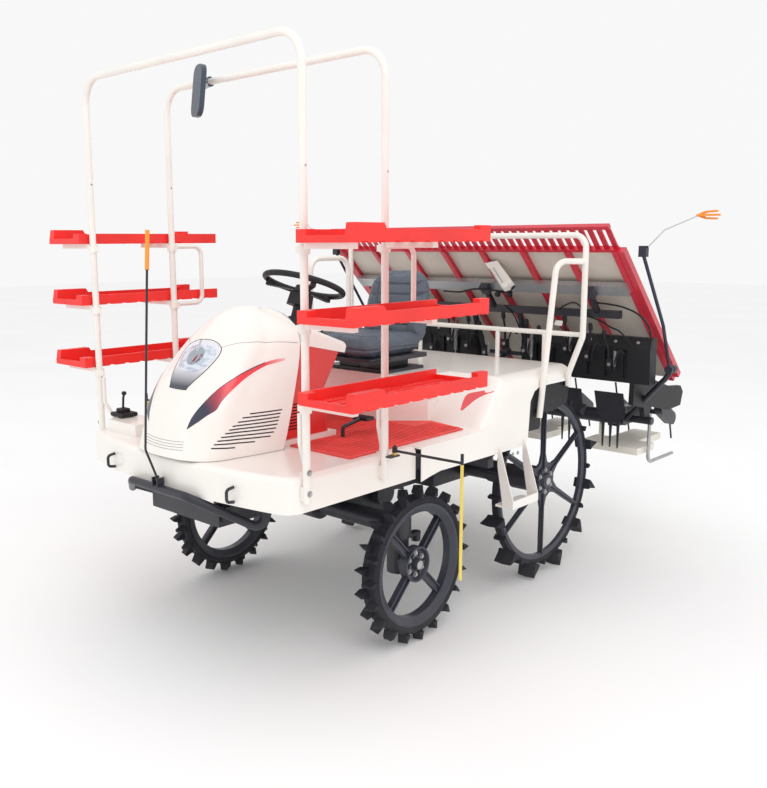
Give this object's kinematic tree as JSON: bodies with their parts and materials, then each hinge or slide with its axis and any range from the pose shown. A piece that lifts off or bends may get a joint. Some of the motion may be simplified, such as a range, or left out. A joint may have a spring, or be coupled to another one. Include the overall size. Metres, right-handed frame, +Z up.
{
  "type": "rice transplanter",
  "caption": "Ride-on rice transplanter with seedling racks on two hoops, an open driver's deck, paddle-lugged rear wheels and a rear-mounted planting unit.",
  "frame": {"origin": "on the floor under the middle of the overall length and width", "axes": "+X forward, +Y to the vehicle's left, +Z up"},
  "size_m": [2.9858, 2.594, 2.3688],
  "materials": {
    "frame_dark": "satin",
    "body_white": "gloss",
    "rail_white": "gloss",
    "console_red": "gloss",
    "tray_red": "satin",
    "platform_red": "gloss",
    "mat_red": "matte",
    "wheel_dark": "satin",
    "tyre": "matte",
    "steel": "satin",
    "plastic_dark": "matte",
    "seat_grey": "satin",
    "engine": "matte",
    "panel_beige": "satin",
    "float_cream": "satin",
    "rail_alu": "satin",
    "marker_yellow": "satin",
    "lamp_clear": "gloss",
    "mirror_slate": "satin"
  },
  "bodies": {
    "chassis": {"chassis_frame": "frame_dark", "front_axle_case": "frame_dark", "transmission_case": "frame_dark", "engine_block": "engine", "deck": "body_white", "rear_body": "body_white", "floor_mats": "mat_red", "console": "console_red", "console_cap": "body_white", "dash_levers": "plastic_dark", "steering_column": "plastic_dark", "foot_controls": "frame_dark", "seat_base": "frame_dark", "seat": "seat_grey", "front_bumper": "frame_dark", "tow_hooks": "frame_dark", "front_hoop": "rail_white", "rear_hoop": "rail_white", "marker_brackets": "frame_dark", "grab_pipes": "rail_white", "seedling_trays": "tray_red", "tray_clamps": "rail_white", "mirror_unit": "mirror_slate", "rear_rails": "rail_white", "rail_brackets": "plastic_dark", "boarding_steps": "body_white"},
    "bonnet": {"bonnet": "body_white", "headlamps": "lamp_clear"},
    "steering_wheel": {"steering_wheel": "plastic_dark"},
    "knuckle_left": {"knuckle_left": "frame_dark"},
    "knuckle_right": {"knuckle_right": "frame_dark"},
    "tie_rod": {"tie_rod": "frame_dark"},
    "front_wheel_left": {"front_rim_left": "wheel_dark", "front_tyre_left": "tyre"},
    "front_wheel_right": {"front_rim_right": "wheel_dark", "front_tyre_right": "tyre"},
    "rear_wheel_left": {"rear_rim_left": "wheel_dark", "rear_tyre_left": "tyre"},
    "rear_wheel_right": {"rear_rim_right": "wheel_dark", "rear_tyre_right": "tyre"},
    "lower_links": {"lower_links": "frame_dark"},
    "top_link": {"top_link": "frame_dark"},
    "planting_unit": {"planter_frame": "frame_dark", "planter_covers": "plastic_dark", "planting_cases": "frame_dark", "floats": "float_cream", "levelling_forks": "frame_dark", "planter_stands": "steel"},
    "planting_rotors": {"planting_rotors": "frame_dark"},
    "seedling_platform": {"platform_frame": "platform_red", "platform_panels": "panel_beige", "platform_rail": "rail_alu"},
    "line_marker_left": {"line_marker_left": "frame_dark"},
    "line_marker_right": {"line_marker_right": "frame_dark"},
    "side_marker_left": {"side_marker_left": "marker_yellow"},
    "side_marker_right": {"side_marker_right": "marker_yellow"},
    "centre_marker": {"centre_marker": "plastic_dark"}
  },
  "joints": [
    {"name": "steer_left", "type": "hinge", "parent": "chassis", "child": "knuckle_left", "pos_m": [0.62, 0.512, 0.325], "axis": [0, 0, 1], "range_deg": [-40, 40]},
    {"name": "steer_right", "type": "hinge", "parent": "chassis", "child": "knuckle_right", "pos_m": [0.62, -0.512, 0.325], "axis": [0, 0, 1], "range_deg": [-40, 40]},
    {"name": "tie_rod_slide", "type": "slide", "parent": "chassis", "child": "tie_rod", "axis": [0, 1, 0], "range_m": [-0.08, 0.08]},
    {"name": "steering_wheel_turn", "type": "hinge", "parent": "chassis", "child": "steering_wheel", "pos_m": [0.646, 0, 1.444], "axis": [-0.342, 0, 0.9397], "range_deg": [-330, 330]},
    {"name": "front_left_spin", "type": "hinge", "parent": "knuckle_left", "child": "front_wheel_left", "pos_m": [0.62, 0.6, 0.325], "axis": [0, 1, 0], "continuous": true},
    {"name": "front_right_spin", "type": "hinge", "parent": "knuckle_right", "child": "front_wheel_right", "pos_m": [0.62, -0.6, 0.325], "axis": [0, 1, 0], "continuous": true},
    {"name": "rear_left_spin", "type": "hinge", "parent": "chassis", "child": "rear_wheel_left", "pos_m": [-0.376, 0.594, 0.475], "axis": [0, 1, 0], "continuous": true},
    {"name": "rear_right_spin", "type": "hinge", "parent": "chassis", "child": "rear_wheel_right", "pos_m": [-0.376, -0.594, 0.475], "axis": [0, 1, 0], "continuous": true},
    {"name": "lift", "type": "hinge", "parent": "chassis", "child": "lower_links", "pos_m": [-0.47, 0, 0.48], "axis": [0, 1, 0], "range_deg": [-45, 0]},
    {"name": "top_link_swing", "type": "hinge", "parent": "chassis", "child": "top_link", "pos_m": [-0.47, 0, 0.69], "axis": [0, 1, 0], "range_deg": [-45, 0]},
    {"name": "unit_level", "type": "hinge", "parent": "lower_links", "child": "planting_unit", "pos_m": [-0.94804, 0, 0.79044], "axis": [0, 1, 0], "range_deg": [0, 45]},
    {"name": "rotor_spin", "type": "hinge", "parent": "planting_unit", "child": "planting_rotors", "pos_m": [-1.39, 0, 0.682], "axis": [0, 1, 0], "continuous": true},
    {"name": "platform_traverse", "type": "slide", "parent": "planting_unit", "child": "seedling_platform", "axis": [0, 1, 0], "range_m": [-0.042, 0.168]},
    {"name": "line_marker_left_swing", "type": "hinge", "parent": "planting_unit", "child": "line_marker_left", "pos_m": [-0.915, 0.965, 0.995], "axis": [-1, 0, 0], "range_deg": [0, 105]},
    {"name": "line_marker_right_swing", "type": "hinge", "parent": "planting_unit", "child": "line_marker_right", "pos_m": [-0.915, -0.965, 0.995], "axis": [1, 0, 0], "range_deg": [0, 105]},
    {"name": "side_marker_left_fold", "type": "hinge", "parent": "chassis", "child": "side_marker_left", "pos_m": [0.832, 0.672, 0.847], "axis": [0, 0, -1], "range_deg": [0, 90]},
    {"name": "side_marker_right_fold", "type": "hinge", "parent": "chassis", "child": "side_marker_right", "pos_m": [0.832, -0.672, 0.847], "axis": [0, 0, 1], "range_deg": [0, 90]},
    {"name": "centre_marker_fold", "type": "hinge", "parent": "chassis", "child": "centre_marker", "pos_m": [1.439, 0, 0.734], "axis": [0, 1, 0], "range_deg": [0, 90]},
    {"name": "bonnet_lift_off", "type": "slide", "parent": "chassis", "child": "bonnet", "axis": [0, 0, 1], "range_m": [0, 0.2]}
  ],
  "couplings": [
    {"joint": "steer_right", "follows": "steer_left", "ratio": 1},
    {"joint": "steering_wheel_turn", "follows": "steer_left", "ratio": 8},
    {"joint": "tie_rod_slide", "follows": "steer_left", "m_per_rad": -0.1105},
    {"joint": "top_link_swing", "follows": "lift", "ratio": 1},
    {"joint": "unit_level", "follows": "lift", "ratio": -1}
  ]
}
